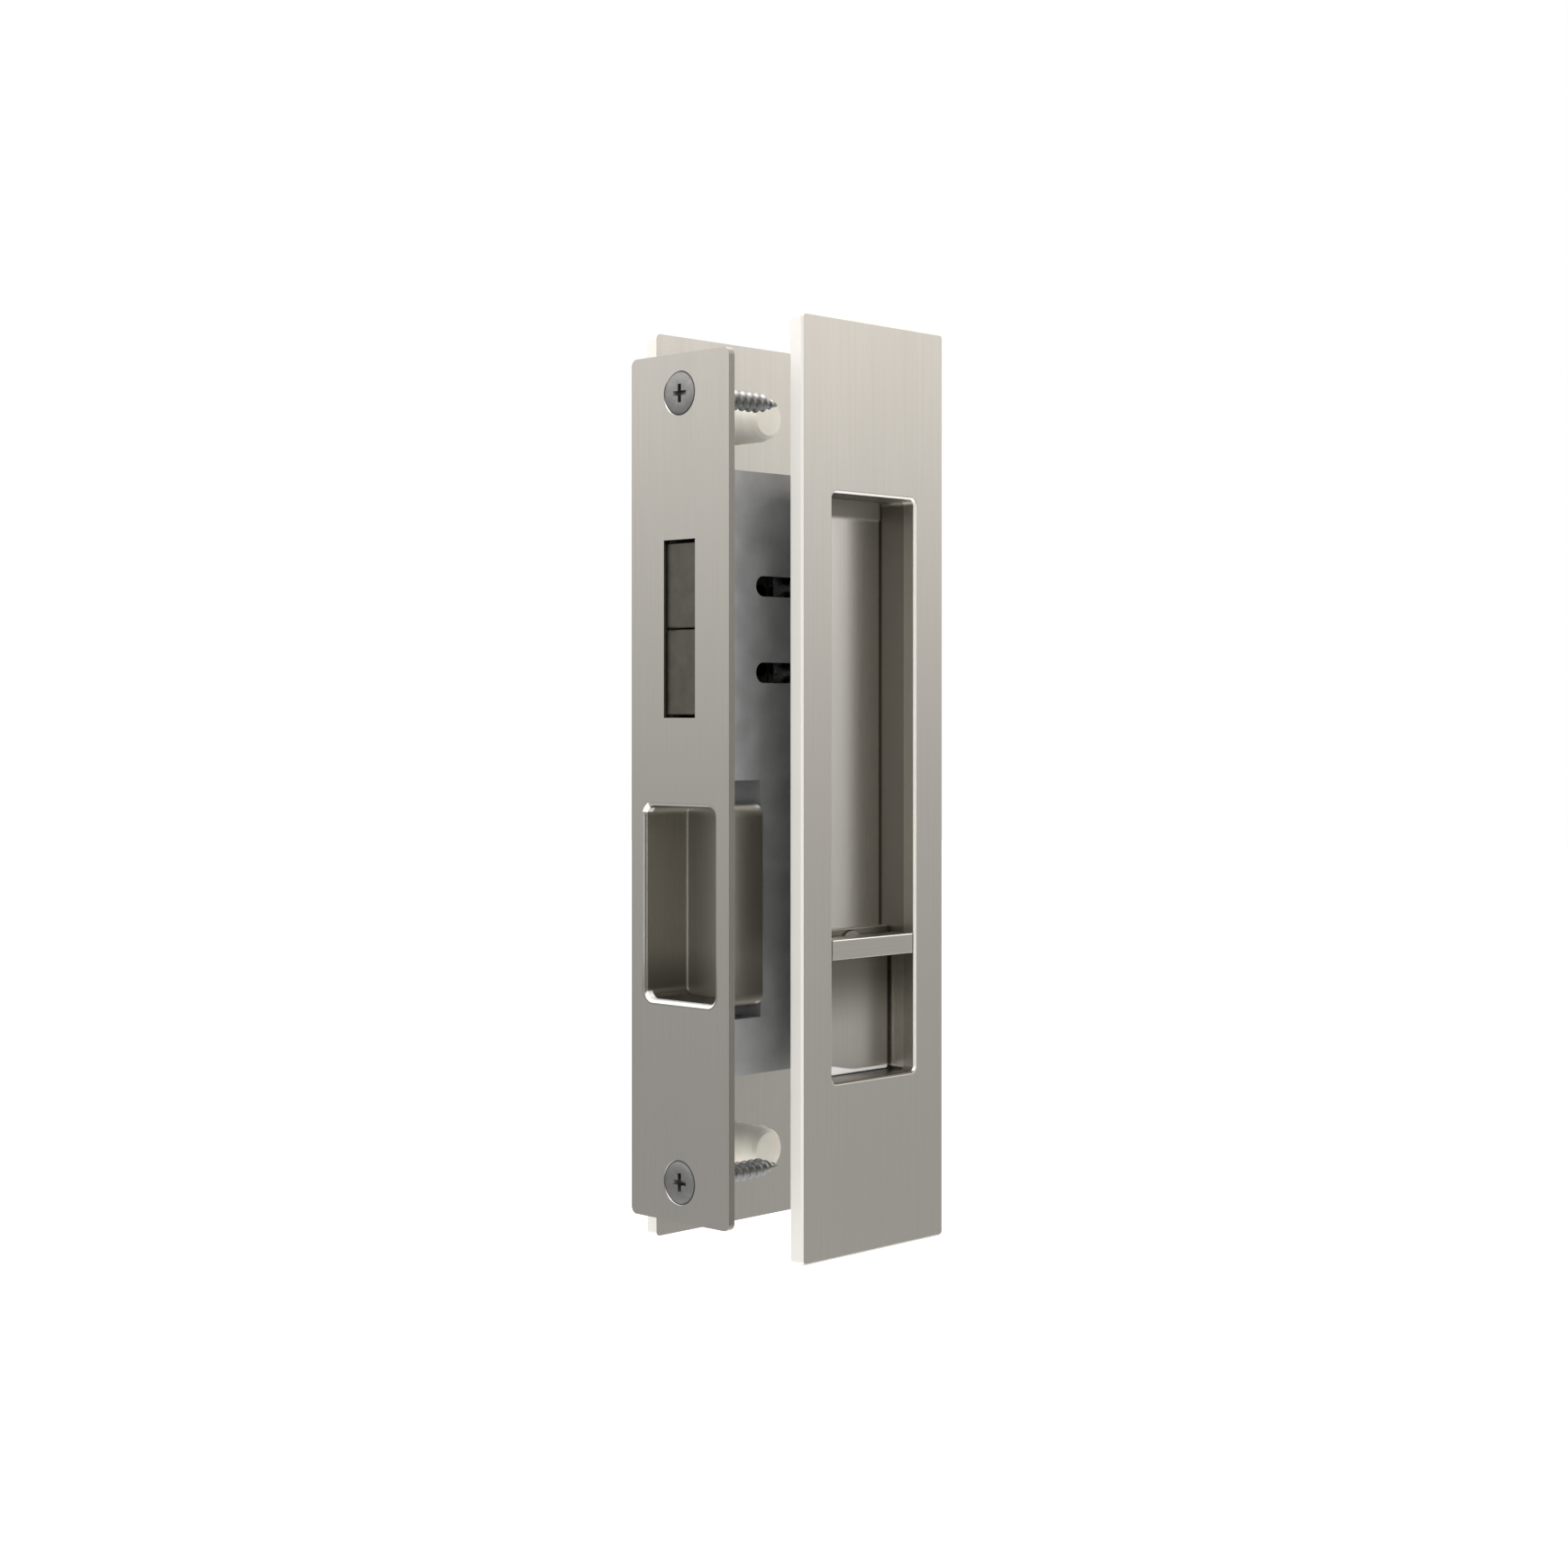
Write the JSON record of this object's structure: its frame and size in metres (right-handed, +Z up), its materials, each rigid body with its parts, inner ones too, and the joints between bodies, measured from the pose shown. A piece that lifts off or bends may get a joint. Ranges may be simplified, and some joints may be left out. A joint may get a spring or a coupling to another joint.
{
  "type": "flush pull privacy set",
  "caption": "Flush pulls and edge lock for a sliding door: trays, finger turn, coin release, edge cup and twin hooks that run out and spread.",
  "frame": {"origin": "centre of the edge plate's face, on the door's edge at mid thickness", "axes": "+X into the door from its edge, +Y across the door from the inside room to the outside room, +Z up"},
  "size_m": [0.055, 0.0456, 0.19],
  "materials": {
    "satin_nickel": "satin nickel, brushed upright",
    "hook_steel": "dull ground steel",
    "screw_steel": "zinc plated",
    "zinc_steel": "zinc plated sheet",
    "bright_steel": "bright drawn",
    "cast_zinc": "die cast, dull",
    "spring_steel": "blued",
    "nylon": "natural nylon"
  },
  "bodies": {
    "case": {"edge_plate": "satin_nickel", "edge_pull_cup": "satin_nickel", "forend": "zinc_steel", "edge_plate_screws": "screw_steel", "forend_screws": "zinc_steel", "lock_case": "zinc_steel", "case_cover": "zinc_steel", "case_pillars": "zinc_steel", "cover_screws": "zinc_steel", "cam_posts": "bright_steel", "slide_posts": "bright_steel", "inside_plate": "satin_nickel", "inside_tray": "satin_nickel", "inside_turn_base": "satin_nickel", "inside_bush": "nylon", "inside_studs": "zinc_steel", "inside_plugs": "nylon", "outside_plate": "satin_nickel", "outside_tray": "satin_nickel", "outside_turn_base": "satin_nickel", "outside_bush": "nylon", "outside_studs": "zinc_steel", "outside_plugs": "nylon"},
    "turn": {"turn_snib": "satin_nickel", "spindle": "bright_steel", "follower": "cast_zinc", "release_turn": "satin_nickel", "inside_clip": "spring_steel", "outside_clip": "spring_steel"},
    "slide": {"rack_slide": "bright_steel"},
    "yoke": {"hook_yoke": "bright_steel", "hook_pins": "bright_steel", "drive_pin": "bright_steel"},
    "hook_upper": {"upper_hook": "hook_steel"},
    "hook_lower": {"lower_hook": "hook_steel"}
  },
  "joints": [
    {"name": "snib_turn", "type": "hinge", "parent": "case", "child": "turn", "pos_m": [0.0335, 0, -0.0328], "axis": [0, 1, 0], "range_deg": [0, 90]},
    {"name": "slide_lift", "type": "slide", "parent": "case", "child": "slide", "axis": [0, 0, 1], "range_m": [0, 0.01102]},
    {"name": "yoke_throw", "type": "slide", "parent": "case", "child": "yoke", "axis": [-1, 0, 0], "range_m": [0, 0.01099]},
    {"name": "upper_spread", "type": "hinge", "parent": "yoke", "child": "hook_upper", "pos_m": [0.026, 0, 0.0409], "axis": [0, 1, 0], "range_deg": [0, 8.01]},
    {"name": "lower_spread", "type": "hinge", "parent": "yoke", "child": "hook_lower", "pos_m": [0.026, 0, 0.0233], "axis": [0, 1, 0], "range_deg": [-8.01, 0]}
  ],
  "couplings": [
    {"joint": "snib_turn", "follows": "yoke_throw", "rad_per_m": 142.86},
    {"joint": "slide_lift", "follows": "yoke_throw", "ratio": 1},
    {"joint": "upper_spread", "follows": "yoke_throw", "rad_per_m": 12.698},
    {"joint": "lower_spread", "follows": "yoke_throw", "rad_per_m": -12.698}
  ]
}
